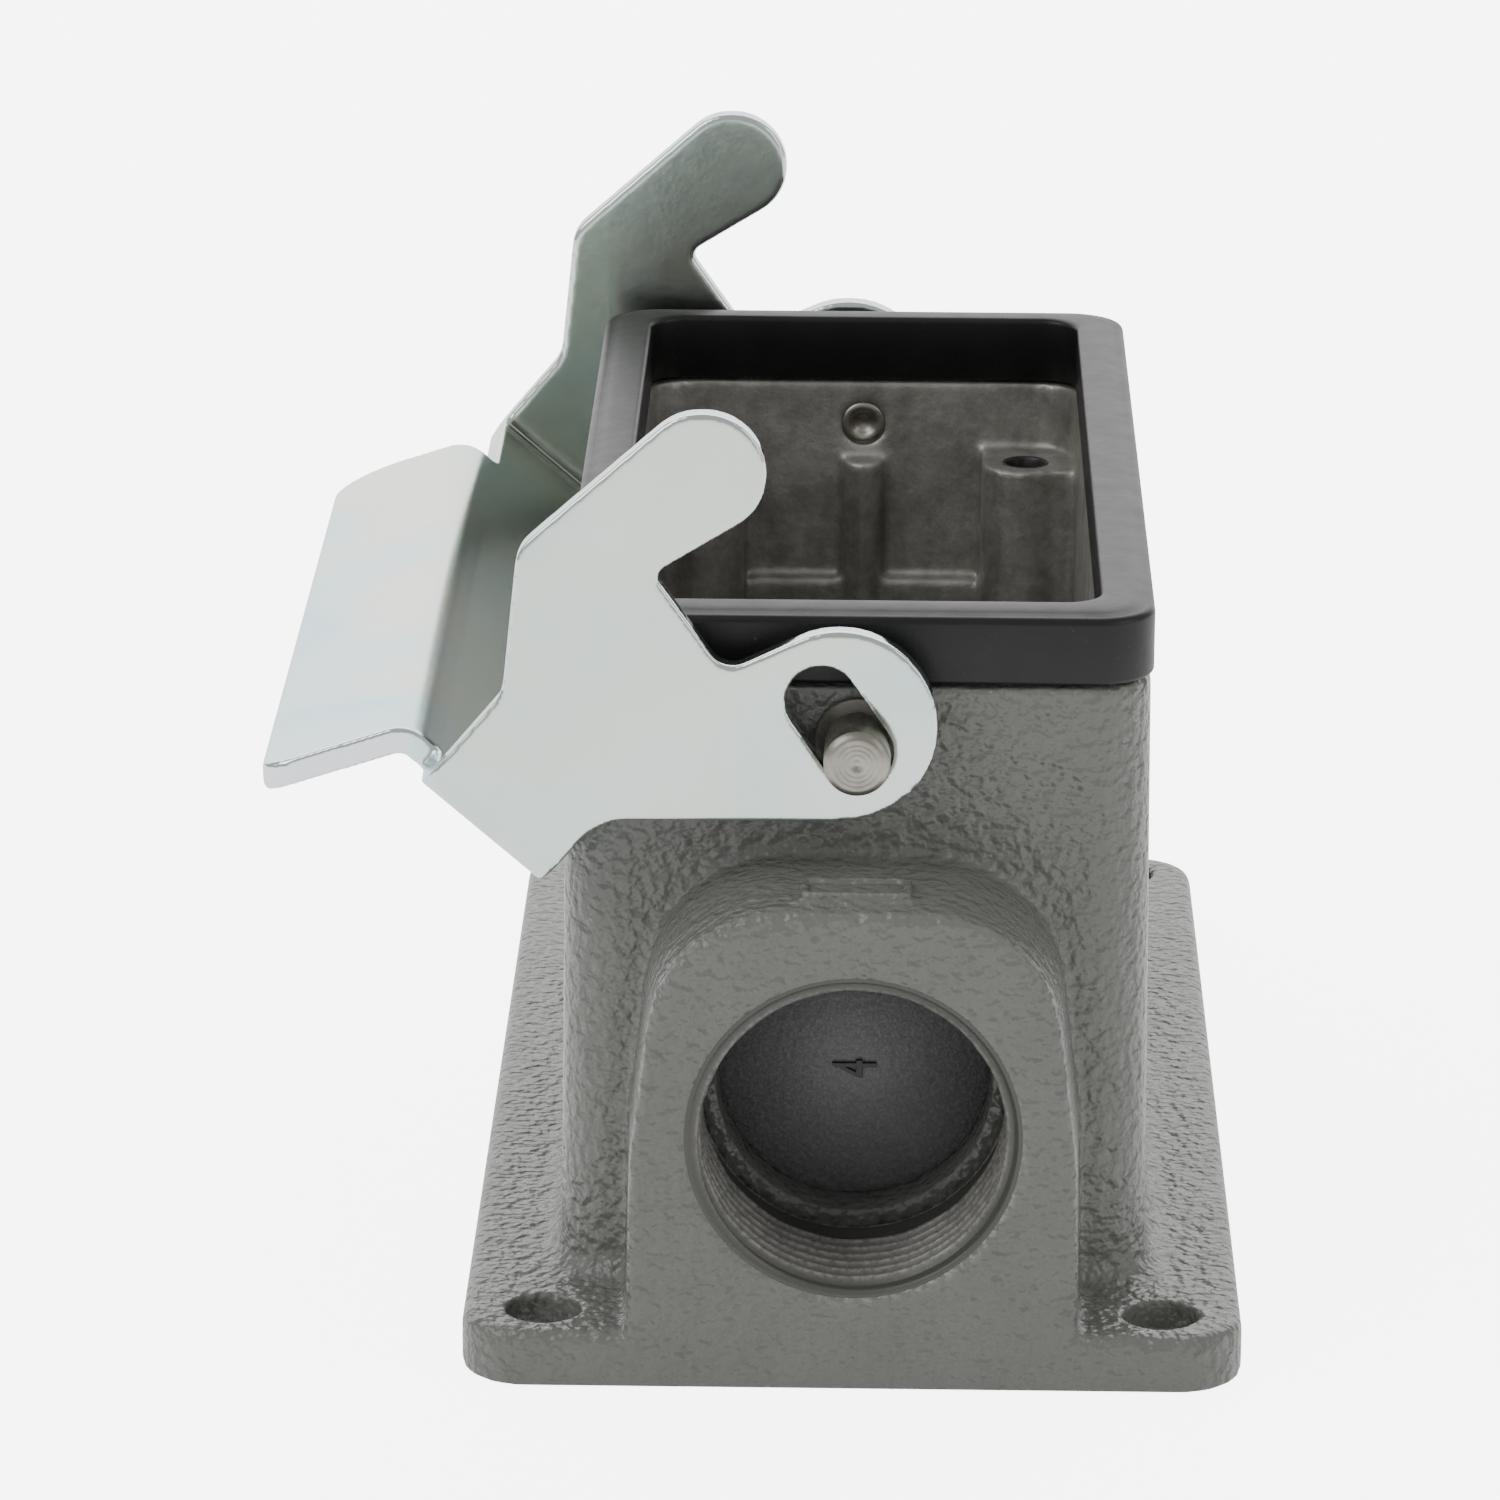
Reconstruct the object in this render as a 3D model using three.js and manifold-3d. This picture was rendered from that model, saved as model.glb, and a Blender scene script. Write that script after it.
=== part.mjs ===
// Surface-mount base housing with one locking lever. Units: millimetres, +Z up.
// Origin: centre of the underside. +Y runs along the length, away from the cable entry.
import * as THREE from 'three';
import { mergeVertices } from 'three/examples/jsm/utils/BufferGeometryUtils.js';
import Module from 'manifold-3d';

const wasm = await Module();
wasm.setup();

// ---- base flange ----
const BASE_WIDTH = 57;
const BASE_LENGTH = 115;
const BASE_THICKNESS = 4.3;
const BASE_CORNER = 5;
const BASE_EDGE = 0.8;
const MOUNT_HOLE = 5.5;
const MOUNT_PITCH_X = 45;
const MOUNT_PITCH_Y = 105;
const POCKET_DEPTH = 1.2;
const POCKET_RIB = 6;
const POCKET_MARGIN = 5;
const POCKET_CORNER = 2;

// ---- body: its middle sits a little behind the middle of the base ----
const BODY_SHIFT = 0.8;
const BODY_WIDTH = 43.4;
const BODY_LENGTH = 94.3;
const BODY_CORNER = 5;
const BODY_TOP = 49.8;
const DRAFT = 0.0089;
const FOOT_FILLET = 1.8;
const WALL = 3.9;
const FLOOR = 3.6;
const CAVITY_CORNER = 4;
const CAVITY_DRAFT = 0.5;

// ---- rim tongue and seal ----
const TONGUE_TOP = 53.6;
const TONGUE_INSET = 1.2;
const TONGUE_THICKNESS = 1.6;
const SEAL_TOP = 55.4;
const SEAL_WIDTH = 43;
const SEAL_LENGTH = 93.5;
const SEAL_THICKNESS = 3.9;
const SEAL_CORNER = 4.5;
const SEAL_INNER_CORNER = 1.6;
const SEAL_FOOT = 50.1;
const SEAL_EDGE = 1.4;
const SEAL_LIP = 0.4;
const GAP = 0.3;

// ---- cable entry ----
const BOSS_HALF_WIDTH = 16.15;
const BOSS_FOOT_SPREAD = 0.25;
const BOSS_TOP = 36.4;
const BOSS_SHOULDER = 13.8;
const BOSS_BEND_HEIGHT = 17.5;
const BOSS_ARCH = 10;
const BOSS_GROWTH = 0.025;
const BOSS_EDGE = 0.5;
const ENTRY_HEIGHT = 19.35;
const ENTRY_BORE = 23.6;
const ENTRY_MOUTH = 24.3;
const ENTRY_MOUTH_DEPTH = 0.6;
const UNDERCUT_BORE = 25.4;
const UNDERCUT_START = -46.8;
const UNDERCUT_LENGTH = 2;
const UNDERCUT_SLOPE = 0.4;
const SHOULDER_FACE = -44.5;
const SHOULDER_BORE = 20.4;
const DISC_FACE = -41;
const DISC_THICKNESS = 1;
const DISC_DIAMETER = 22;
const ENTRY_REACH = 4;
const PAD_LENGTH = 8;
const PAD_DEPTH = 4;
const PAD_HEIGHT = 0.5;
const PAD_START = 2.2;

// ---- inside the body ----
const POST_X = 13.5;
const POST_Y = 38.75;
const POST_RADIUS = 3.6;
const POST_STEP = 0.6;
const POST_TOP = 44.2;
const POST_HOLE = 3.3;
const POST_HOLE_DEPTH = 10;
const RIB_RADIUS = 1.75;
const RIB_STANDOFF = 0.3;
const RIB_TOP = 43.3;
const LEDGE_HALF_WIDTH = 9.4;
const LEDGE_TOP = 33.1;
const LEDGE_THICKNESS = 1.4;
const SKIN = 1.5;

// ---- pivot pins ----
const PIVOT_Z = 46.2;
const PIN_NECK = 4.8;
const PIN_SHOULDER = 6.2;
const PIN_SHANK = 3.2;
const PIN_CLEARANCE = 0.15;
const PIN_RECESS = 0.2;
const PIN_END = 54.1;
const PIN_CHAMFER = 0.5;
const PIN_SHOULDER_START = 47.05;
const PIN_SHOULDER_END = 47.9;
const PIN_NECK_START = 48.9;
const PIN_DIMPLE = 0.5;
const PIN_TAIL_RING = 0.6;
const PIN_CENTRE_RADIUS = 0.4;
const PIN_CENTRE_DEPTH = 0.2;

// ---- lever: positions are measured from the pivot axis, x right and z up ----
const SHEET = 2;
const ARM_INNER = 49.05;
const SLOT_WIDTH = 5.2;
const SLOT_END = [-2.6, 3.8];
const EYE_RADIUS = 7.1;
const FINGER_CENTRE = [-11.1, 20.45];
const FINGER_RADIUS = 4.5;
const FINGER_UNDERSIDE = 18.05;
const FINGER_UNDER_RADIUS = 4.2;
const ELBOW = [-9.6, 5.9];
const THROAT = [-14.7, 13.1];
const BACK_SLOPE_X = -13;
const SHOULDER_TOP = [-24.4, 14.9];
const SHOULDER_BOTTOM = [-25.5, 4.1];
const HEEL_X = -18.6;
const HEEL_RADIUS = 5;
const ELBOW_RADIUS = 1.8;
const THROAT_RADIUS = 0.9;
const SHOULDER_RADIUS = 3;
const WEB_DISTANCE = 23;
const WEB_ANGLE = THREE.MathUtils.degToRad(139.3);
const WEB_START = 10.5;
const WEB_STEP = 21.9;
const BEND_INNER = 0.9;
const WEB_CREASE = 23.8;
const CHANNEL_REACH = 40;
const JOIN_INSET = 0.02;
const FLANGE_ANGLE = THREE.MathUtils.degToRad(198.1);
const FLANGE_REACH = 10.6;
const FLANGE_TRIM = 0.7;
const PLAN_START = -10;
const FLANGE_NEAR = -45.8;
const FLANGE_FAR = 35.7;
const FLANGE_NEAR_CORNER = 2;
const FLANGE_FAR_CORNER = 5.5;

// ---- how far joined solids run into each other, and cutting tools past a face ----
const OVERLAP = 1;

// ---- fineness of round stretches ----
const ROUND = 48;
const ARC_STEP = THREE.MathUtils.degToRad(9);
const SAME_POINT = 0.02;

// ---- materials ----
function paintedAluminium() {
  return new THREE.MeshStandardMaterial({ color: 0x7c7c76, roughness: 0.55, metalness: 0.1 });
}

function blackRubber() {
  return new THREE.MeshStandardMaterial({ color: 0x1b1b1c, roughness: 0.7, metalness: 0 });
}

function platedSteel() {
  return new THREE.MeshStandardMaterial({ color: 0xc9d3cf, roughness: 0.35, metalness: 0.8 });
}

function turnedSteel() {
  return new THREE.MeshStandardMaterial({ color: 0xb9bcbb, roughness: 0.3, metalness: 0.9 });
}

function darkPlastic() {
  return new THREE.MeshStandardMaterial({ color: 0x2f3a44, roughness: 0.8, metalness: 0 });
}

// ---- solid helpers ----
function toSolid(geometry) {
  const bare = geometry.clone();
  bare.deleteAttribute('normal');
  bare.deleteAttribute('uv');
  const merged = mergeVertices(bare, 1e-5);
  return new wasm.Manifold(new wasm.Mesh({
    numProp: 3,
    vertProperties: new Float32Array(merged.attributes.position.array),
    triVerts: new Uint32Array(merged.index.array),
  }));
}

function toNode(name, solid, material) {
  const mesh = solid.getMesh();
  const geometry = new THREE.BufferGeometry();
  geometry.setAttribute('position', new THREE.BufferAttribute(mesh.vertProperties, 3));
  geometry.setIndex(new THREE.BufferAttribute(mesh.triVerts, 1));
  geometry.computeVertexNormals();
  const node = new THREE.Mesh(geometry, material);
  node.name = name;
  return node;
}

function joinAll(solids) {
  return solids.reduce((sum, solid) => sum.add(solid));
}

// Moves a solid built about the body's middle to the body's place on the base.
function onBody(solid) {
  return solid.translate([0, BODY_SHIFT, 0]);
}

function cutAll(solid, tools) {
  return tools.reduce((rest, tool) => rest.subtract(tool), solid);
}

function box(lowX, highX, lowY, highY, lowZ, highZ) {
  const geometry = new THREE.BoxGeometry(highX - lowX, highY - lowY, highZ - lowZ);
  geometry.translate((lowX + highX) / 2, (lowY + highY) / 2, (lowZ + highZ) / 2);
  return toSolid(geometry);
}

function uprightCylinder(diameter, x, y, lowZ, highZ) {
  const geometry = new THREE.CylinderGeometry(diameter / 2, diameter / 2, highZ - lowZ, ROUND);
  geometry.rotateX(Math.PI / 2);
  geometry.translate(x, y, (lowZ + highZ) / 2);
  return toSolid(geometry);
}

function lengthwiseCylinder(diameter, x, z, lowY, highY) {
  const geometry = new THREE.CylinderGeometry(diameter / 2, diameter / 2, highY - lowY, ROUND);
  geometry.translate(x, (lowY + highY) / 2, z);
  return toSolid(geometry);
}

// A profile of [radius, y] pairs turned about a lengthwise axis at the given height.
function turned(profile, z) {
  const points = profile.map(([radius, y]) => new THREE.Vector2(radius, y));
  const geometry = new THREE.LatheGeometry(points, ROUND);
  geometry.translate(0, 0, z);
  return toSolid(geometry);
}

// Corner-rounded rectangle as a ring of points, the same count for every size.
function ring(halfX, halfY, radius, z) {
  const steps = 8;
  const points = [];
  const corners = [[1, 1, 0], [-1, 1, 1], [-1, -1, 2], [1, -1, 3]];
  for (const [signX, signY, quarter] of corners) {
    for (let i = 0; i <= steps; i += 1) {
      const angle = (quarter + i / steps) * Math.PI / 2;
      const x = signX * (halfX - radius) + radius * Math.cos(angle);
      const y = signY * (halfY - radius) + radius * Math.sin(angle);
      points.push(new THREE.Vector3(x, y, z));
    }
  }
  return points;
}

function ringGeometry(rings, triangles) {
  const geometry = new THREE.BufferGeometry();
  geometry.setFromPoints(rings.flat());
  geometry.setIndex(triangles);
  return geometry;
}

function bandTriangles(count, lower, upper) {
  const triangles = [];
  for (let i = 0; i < count; i += 1) {
    const next = (i + 1) % count;
    triangles.push(lower * count + i, lower * count + next, upper * count + next);
    triangles.push(lower * count + i, upper * count + next, upper * count + i);
  }
  return triangles;
}

// Convex rings stacked upwards and closed at both ends.
function stack(rings) {
  const count = rings[0].length;
  const triangles = [];
  for (let level = 0; level + 1 < rings.length; level += 1) {
    triangles.push(...bandTriangles(count, level, level + 1));
  }
  const top = (rings.length - 1) * count;
  for (let i = 1; i + 1 < count; i += 1) {
    triangles.push(0, i + 1, i);
    triangles.push(top, top + i, top + i + 1);
  }
  return toSolid(ringGeometry(rings, triangles));
}

// Rings joined in a loop: the last connects back to the first.
function loop(rings) {
  const triangles = [];
  for (let level = 0; level < rings.length; level += 1) {
    triangles.push(...bandTriangles(rings[0].length, level, (level + 1) % rings.length));
  }
  return toSolid(ringGeometry(rings, triangles));
}

// A shape drawn as x right, z up, pushed along the length between two y positions.
function pushLengthwise(shape, lowY, highY) {
  const geometry = new THREE.ExtrudeGeometry(shape, {
    depth: highY - lowY,
    bevelEnabled: false,
    curveSegments: 12,
  });
  geometry.rotateX(Math.PI / 2);
  geometry.translate(0, highY, 0);
  return toSolid(geometry);
}

// ---- housing ----
function wallInset(z) {
  return DRAFT * (z - BASE_THICKNESS);
}

function bodyRing(z, spread) {
  const inset = wallInset(z) - spread;
  const radius = BODY_CORNER + spread;
  return ring(BODY_WIDTH / 2 - inset, BODY_LENGTH / 2 - inset, radius, z);
}

function baseFlange() {
  const rings = [ring(BASE_WIDTH / 2, BASE_LENGTH / 2, BASE_CORNER, 0)];
  for (let i = 0; i <= 3; i += 1) {
    const turn = i / 3 * Math.PI / 2;
    const inset = BASE_EDGE * (1 - Math.cos(turn));
    const z = BASE_THICKNESS - BASE_EDGE * (1 - Math.sin(turn));
    rings.push(ring(BASE_WIDTH / 2 - inset, BASE_LENGTH / 2 - inset, BASE_CORNER - inset, z));
  }
  return stack(rings);
}

function bodyBlock() {
  const rings = [bodyRing(BASE_THICKNESS - OVERLAP, FOOT_FILLET)];
  for (let i = 0; i <= 4; i += 1) {
    const turn = i / 4 * Math.PI / 2;
    const spread = FOOT_FILLET * (1 - Math.sin(turn));
    rings.push(bodyRing(BASE_THICKNESS + FOOT_FILLET * (1 - Math.cos(turn)), spread));
  }
  rings.push(bodyRing(BODY_TOP, 0));
  return stack(rings);
}

function rimTongue() {
  const halfX = SEAL_WIDTH / 2 - TONGUE_INSET;
  const halfY = SEAL_LENGTH / 2 - TONGUE_INSET;
  const corner = SEAL_CORNER - TONGUE_INSET;
  const step = BODY_TOP - OVERLAP;
  return stack([ring(halfX, halfY, corner, step), ring(halfX, halfY, corner, TONGUE_TOP)]);
}

function cavity() {
  const halfX = BODY_WIDTH / 2 - WALL;
  const halfY = BODY_LENGTH / 2 - WALL;
  const rimX = SEAL_WIDTH / 2 - TONGUE_INSET - TONGUE_THICKNESS;
  const rimY = SEAL_LENGTH / 2 - TONGUE_INSET - TONGUE_THICKNESS;
  const rimCorner = SEAL_CORNER - TONGUE_INSET - TONGUE_THICKNESS;
  const lower = stack([
    ring(halfX - CAVITY_DRAFT, halfY - CAVITY_DRAFT, CAVITY_CORNER, FLOOR),
    ring(halfX, halfY, CAVITY_CORNER, SEAL_TOP),
  ]);
  const upper = stack([
    ring(rimX, rimY, rimCorner, BODY_TOP),
    ring(rimX, rimY, rimCorner, SEAL_TOP),
  ]);
  return lower.add(upper);
}

// Outline of the boss seen from the front, grown by a factor about the middle of its foot.
function bossOutline(y, growth) {
  const foot = BASE_THICKNESS - OVERLAP;
  const spread = BOSS_HALF_WIDTH + BOSS_FOOT_SPREAD;
  const corners = [
    [-spread, foot, 0],
    [spread, foot, 0],
    [BOSS_HALF_WIDTH, BOSS_BEND_HEIGHT, BOSS_ARCH],
    [BOSS_SHOULDER, BOSS_TOP, BOSS_ARCH],
    [-BOSS_SHOULDER, BOSS_TOP, BOSS_ARCH],
    [-BOSS_HALF_WIDTH, BOSS_BEND_HEIGHT, BOSS_ARCH],
  ];
  return roundedOutline(corners).getPoints().map((point) => {
    return new THREE.Vector3(point.x * growth, y, foot + (point.y - foot) * growth);
  });
}

function entryBoss() {
  const front = -BASE_LENGTH / 2;
  const back = BODY_SHIFT - BODY_LENGTH / 2 + WALL / 2;
  const edgeGrowth = BOSS_EDGE / BOSS_HALF_WIDTH;
  return stack([
    bossOutline(back, 1 + BOSS_GROWTH),
    bossOutline(front + BOSS_EDGE, 1),
    bossOutline(front + 0.3 * BOSS_EDGE, 1 - 0.3 * edgeGrowth),
    bossOutline(front, 1 - edgeGrowth),
  ]);
}

function bossPad() {
  const low = -BASE_LENGTH / 2 + PAD_START;
  const highX = PAD_LENGTH / 2;
  return box(-highX, highX, low, low + PAD_DEPTH, BOSS_TOP - OVERLAP, BOSS_TOP + PAD_HEIGHT);
}

// Bore of the entry: chamfered mouth, shoulder ring, and behind the ring the seat of the disc.
function entryBore() {
  const front = -BASE_LENGTH / 2;
  const seat = DISC_FACE - GAP;
  const seatRadius = DISC_DIAMETER / 2 + GAP;
  const undercutEnd = UNDERCUT_START + UNDERCUT_LENGTH;
  const inside = BODY_SHIFT - BODY_LENGTH / 2 + WALL + ENTRY_REACH;
  const profile = [
    [0, front - OVERLAP],
    [ENTRY_MOUTH / 2, front - OVERLAP],
    [ENTRY_MOUTH / 2, front],
    [ENTRY_BORE / 2, front + ENTRY_MOUTH_DEPTH],
    [ENTRY_BORE / 2, UNDERCUT_START],
    [UNDERCUT_BORE / 2, UNDERCUT_START + UNDERCUT_SLOPE],
    [UNDERCUT_BORE / 2, undercutEnd - UNDERCUT_SLOPE],
    [ENTRY_BORE / 2, undercutEnd],
    [ENTRY_BORE / 2, SHOULDER_FACE],
    [SHOULDER_BORE / 2, SHOULDER_FACE],
    [SHOULDER_BORE / 2, seat],
    [seatRadius, seat],
    [seatRadius, inside],
    [0, inside],
  ];
  return turned(profile, ENTRY_HEIGHT);
}

function insertPost(signX, signY) {
  const x = signX * POST_X;
  const y = signY * POST_Y;
  const wallX = signX * (BODY_WIDTH / 2 - SKIN);
  const wallY = signY * (BODY_LENGTH / 2 - SKIN);
  const toSide = box(
    Math.min(x, wallX), Math.max(x, wallX),
    y - POST_RADIUS + POST_STEP, y + POST_RADIUS, FLOOR - OVERLAP, POST_TOP,
  );
  const toEnd = box(
    x - POST_RADIUS, x + POST_RADIUS,
    Math.min(y, wallY), Math.max(y, wallY), FLOOR - OVERLAP, POST_TOP,
  );
  const column = uprightCylinder(2 * POST_RADIUS, x, y, FLOOR - OVERLAP, POST_TOP);
  return joinAll([column, toSide, toEnd]);
}

function endRib(sign) {
  const y = sign * (BODY_LENGTH / 2 - WALL - RIB_STANDOFF);
  return uprightCylinder(2 * RIB_RADIUS, 0, y, FLOOR - OVERLAP, RIB_TOP);
}

function endLedge(sign) {
  const inner = BODY_LENGTH / 2 - WALL - LEDGE_THICKNESS;
  const outer = BODY_LENGTH / 2 - SKIN;
  const lowY = Math.min(sign * inner, sign * outer);
  const highY = Math.max(sign * inner, sign * outer);
  return box(-LEDGE_HALF_WIDTH, LEDGE_HALF_WIDTH, lowY, highY, FLOOR - OVERLAP, LEDGE_TOP);
}

function undersidePockets() {
  const rib = POCKET_RIB / 2;
  const sizeX = BODY_WIDTH / 2 - POCKET_MARGIN / 2 - rib;
  const sizeY = BODY_LENGTH / 2 - POCKET_MARGIN / 2 - rib;
  const pockets = [];
  for (const signX of [-1, 1]) {
    for (const signY of [-1, 1]) {
      const rings = [-OVERLAP, POCKET_DEPTH].map((z) => ring(sizeX / 2, sizeY / 2, POCKET_CORNER, z));
      const pocket = stack(rings);
      pockets.push(pocket.translate([signX * (rib + sizeX / 2), signY * (rib + sizeY / 2), 0]));
    }
  }
  return pockets;
}

function mountHoles() {
  const holes = [];
  for (const signX of [-1, 1]) {
    for (const signY of [-1, 1]) {
      const x = signX * MOUNT_PITCH_X / 2;
      const y = signY * MOUNT_PITCH_Y / 2;
      holes.push(uprightCylinder(MOUNT_HOLE, x, y, -OVERLAP, BASE_THICKNESS + OVERLAP));
    }
  }
  return holes;
}

function postHoles() {
  const holes = [];
  for (const signX of [-1, 1]) {
    for (const signY of [-1, 1]) {
      const x = signX * POST_X;
      const y = signY * POST_Y;
      holes.push(uprightCylinder(POST_HOLE, x, y, POST_TOP - POST_HOLE_DEPTH, POST_TOP + OVERLAP));
    }
  }
  return holes;
}

function pinHoles() {
  const diameter = PIN_SHANK + 2 * PIN_CLEARANCE;
  return [-1, 1].map((sign) => {
    const near = sign * (BODY_LENGTH / 2 - WALL - OVERLAP);
    const far = sign * (BODY_LENGTH / 2 + OVERLAP);
    return lengthwiseCylinder(diameter, 0, PIVOT_Z, Math.min(near, far), Math.max(near, far));
  });
}

function insideFeatures() {
  const features = [];
  for (const signY of [-1, 1]) {
    features.push(endRib(signY), endLedge(signY));
    for (const signX of [-1, 1]) {
      features.push(insertPost(signX, signY));
    }
  }
  return joinAll(features);
}

function housing() {
  const body = bodyBlock();
  const outside = joinAll([baseFlange(), entryBoss(), bossPad(), onBody(body.add(rimTongue()))]);
  const hollow = outside.subtract(onBody(cavity()));
  const withFeatures = hollow.add(onBody(insideFeatures().intersect(body)));
  const bodyCuts = [...undersidePockets(), ...postHoles(), ...pinHoles()].map(onBody);
  const cuts = [entryBore(), ...mountHoles(), ...bodyCuts];
  return toNode('housing', cutAll(withFeatures, cuts), paintedAluminium());
}

// ---- seal ----
function rimSeal() {
  const halfX = SEAL_WIDTH / 2;
  const halfY = SEAL_LENGTH / 2;
  const channelOuter = TONGUE_INSET - GAP;
  const channelInner = TONGUE_INSET + TONGUE_THICKNESS + GAP;
  const roof = TONGUE_TOP + GAP;
  const section = [
    [SEAL_THICKNESS, SEAL_FOOT],
    [channelInner, SEAL_FOOT],
    [channelInner, roof],
    [channelOuter, roof],
    [channelOuter, SEAL_FOOT],
    [0, SEAL_FOOT],
    [0, SEAL_TOP - SEAL_EDGE],
    [0.3 * SEAL_EDGE, SEAL_TOP - 0.3 * SEAL_EDGE],
    [SEAL_EDGE, SEAL_TOP],
    [SEAL_THICKNESS - SEAL_LIP, SEAL_TOP],
    [SEAL_THICKNESS, SEAL_TOP - SEAL_LIP],
  ];
  const rings = section.map(([inset, z]) => {
    const radius = Math.max(SEAL_CORNER - inset, SEAL_INNER_CORNER);
    return ring(halfX - inset, halfY - inset, radius, z);
  });
  return toNode('rim_seal', onBody(loop(rings)), blackRubber());
}

// ---- pivot pins ----
function pivotPin(name, sign) {
  const inner = BODY_LENGTH / 2 - WALL + PIN_RECESS;
  const profile = [
    [0, inner + PIN_DIMPLE],
    [PIN_SHANK / 2 - PIN_TAIL_RING, inner],
    [PIN_SHANK / 2, inner],
    [PIN_SHANK / 2, PIN_SHOULDER_START],
    [PIN_SHOULDER / 2, PIN_SHOULDER_START],
    [PIN_SHOULDER / 2, PIN_SHOULDER_END],
    [PIN_NECK / 2, PIN_NECK_START],
    [PIN_NECK / 2, PIN_END - PIN_CHAMFER],
    [PIN_NECK / 2 - PIN_CHAMFER, PIN_END],
    [PIN_CENTRE_RADIUS, PIN_END],
    [0, PIN_END - PIN_CENTRE_DEPTH],
  ];
  const pin = turned(profile, 0);
  const facing = sign > 0 ? pin : pin.rotate([180, 0, 0]);
  return toNode(name, facing.translate([0, BODY_SHIFT, PIVOT_Z]), turnedSteel());
}

// ---- lever ----
const webAlong = [Math.cos(WEB_ANGLE), Math.sin(WEB_ANGLE)];
const webOut = [-Math.sin(WEB_ANGLE), Math.cos(WEB_ANGLE)];

// Point on the lever by its distance along the fold line and outwards from the pivot.
function webPoint(along, out) {
  return [
    along * webAlong[0] + out * webOut[0],
    along * webAlong[1] + out * webOut[1],
  ];
}

// Corners given as [x, z, radius], each rounded by its radius, as evenly turned points.
function roundedOutline(corners) {
  const count = corners.length;
  const points = [];
  corners.forEach(([x, z, radius], index) => {
    const [beforeX, beforeZ] = corners[(index + count - 1) % count];
    const [afterX, afterZ] = corners[(index + 1) % count];
    const back = new THREE.Vector2(beforeX - x, beforeZ - z).normalize();
    const ahead = new THREE.Vector2(afterX - x, afterZ - z).normalize();
    const half = Math.acos(back.dot(ahead)) / 2;
    const middle = back.clone().add(ahead).normalize().multiplyScalar(radius / Math.sin(half));
    const turn = (Math.PI - 2 * half) * Math.sign(ahead.cross(back));
    const steps = radius > 0 ? Math.ceil(Math.abs(turn) / ARC_STEP) : 0;
    const spoke = back.clone().multiplyScalar(radius / Math.tan(half)).sub(middle);
    for (let i = 0; i <= steps; i += 1) {
      const swing = steps > 0 ? turn * i / steps : 0;
      const arm = spoke.clone().rotateAround(new THREE.Vector2(), swing);
      points.push(new THREE.Vector2(x + middle.x + arm.x, z + middle.y + arm.y));
    }
  });
  const apart = points.filter((point, index) => {
    const before = points[(index + points.length - 1) % points.length];
    return point.distanceTo(before) > SAME_POINT;
  });
  return new THREE.Shape(apart);
}

function slotHole() {
  const radius = SLOT_WIDTH / 2;
  const along = new THREE.Vector2(...SLOT_END).normalize();
  const across = new THREE.Vector2(-along.y, along.x);
  const cornerAt = (ends, side) => [
    (ends > 0 ? SLOT_END[0] : 0) + radius * (ends * along.x + side * across.x),
    (ends > 0 ? SLOT_END[1] : 0) + radius * (ends * along.y + side * across.y),
    radius,
  ];
  return roundedOutline([cornerAt(-1, 1), cornerAt(-1, -1), cornerAt(1, -1), cornerAt(1, 1)]);
}

// Angle of the straight edge that leaves the elbow and just touches the top of the eye.
function eyeSlope(eyeX, eyeZ) {
  const away = new THREE.Vector2(eyeX - ELBOW[0], eyeZ - ELBOW[1]);
  return Math.atan2(away.y, away.x) + Math.asin(EYE_RADIUS / away.length());
}

function armOutline() {
  const [eyeX, eyeZ] = SLOT_END.map((value) => value / 2);
  const [fingerX, fingerZ] = FINGER_CENTRE;
  const corners = [
    [...webPoint(WEB_START, WEB_DISTANCE + OVERLAP), 0],
    [HEEL_X, eyeZ - EYE_RADIUS, HEEL_RADIUS],
    [eyeX + EYE_RADIUS, eyeZ - EYE_RADIUS, EYE_RADIUS],
    [eyeX + EYE_RADIUS, eyeZ + EYE_RADIUS, EYE_RADIUS],
    [eyeX - EYE_RADIUS * Math.tan(eyeSlope(eyeX, eyeZ) / 2), eyeZ + EYE_RADIUS, EYE_RADIUS],
    [...ELBOW, ELBOW_RADIUS],
    [...THROAT, THROAT_RADIUS],
    [fingerX + FINGER_RADIUS, FINGER_UNDERSIDE, FINGER_UNDER_RADIUS],
    [fingerX + FINGER_RADIUS, fingerZ + FINGER_RADIUS, FINGER_RADIUS],
    [BACK_SLOPE_X, fingerZ + FINGER_RADIUS, FINGER_RADIUS],
    [...SHOULDER_TOP, SHOULDER_RADIUS],
    [...SHOULDER_BOTTOM, SHOULDER_RADIUS],
    [...webPoint(WEB_STEP, WEB_DISTANCE + OVERLAP), 0],
  ];
  return roundedOutline(corners);
}

// The channel section through both arms and the web: out from the pivot against length.
function channelSection() {
  const bendOuter = BEND_INNER + SHEET;
  const side = ARM_INNER + SHEET;
  const corners = [
    [-CHANNEL_REACH, -side, 0],
    [WEB_DISTANCE, -side, bendOuter],
    [WEB_DISTANCE, side, bendOuter],
    [-CHANNEL_REACH, side, 0],
    [-CHANNEL_REACH, ARM_INNER, 0],
    [WEB_DISTANCE - SHEET, ARM_INNER, BEND_INNER],
    [WEB_DISTANCE - SHEET, -ARM_INNER, BEND_INNER],
    [-CHANNEL_REACH, -ARM_INNER, 0],
  ];
  return roundedOutline(corners);
}

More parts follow.
